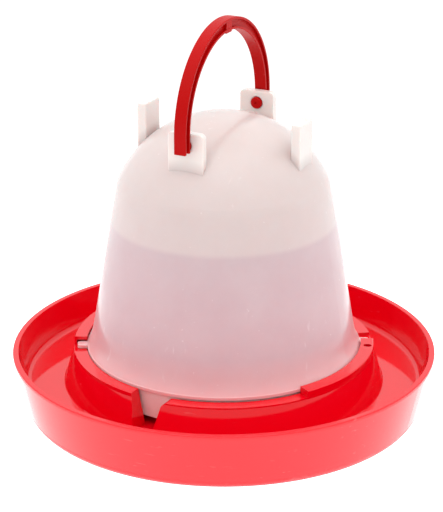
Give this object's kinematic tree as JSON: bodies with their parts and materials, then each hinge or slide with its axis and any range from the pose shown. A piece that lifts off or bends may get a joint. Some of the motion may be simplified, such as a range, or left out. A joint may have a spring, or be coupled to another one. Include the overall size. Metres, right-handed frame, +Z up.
{
  "type": "poultry waterer fount",
  "caption": "Siphon drinker for poultry: a red tray with a raised collar, a translucent bell reservoir set in it, and a hinged carry handle.",
  "frame": {"origin": "on the ground at the centre of the tray's foot ring", "axes": "+Z up along the axis of tray and reservoir; the handle's hinge axis runs along Y and the two plain feet of the reservoir lie on X"},
  "size_m": [0.26, 0.26, 0.2433],
  "materials": {
    "red_tray_plastic": "glossy injection-moulded red polypropylene, slightly translucent at its thin edges",
    "milky_reservoir_plastic": "milky translucent polypropylene with a soft satin gloss, the water inside showing as a darker tone",
    "red_handle_plastic": "satin injection-moulded red polypropylene"
  },
  "bodies": {
    "tray": {"drinking_tray": "red_tray_plastic"},
    "reservoir": {"reservoir_dome": "milky_reservoir_plastic"},
    "handle": {"carry_handle": "red_handle_plastic"}
  },
  "joints": [
    {"name": "reservoir_lift", "type": "slide", "parent": "tray", "child": "reservoir", "axis": [0, 0, 1], "range_m": [0, 0.06]},
    {"name": "handle_hinge", "type": "hinge", "parent": "reservoir", "child": "handle", "pos_m": [0, 0, 0.18], "axis": [0, 1, 0], "range_deg": [-98, 98]}
  ]
}
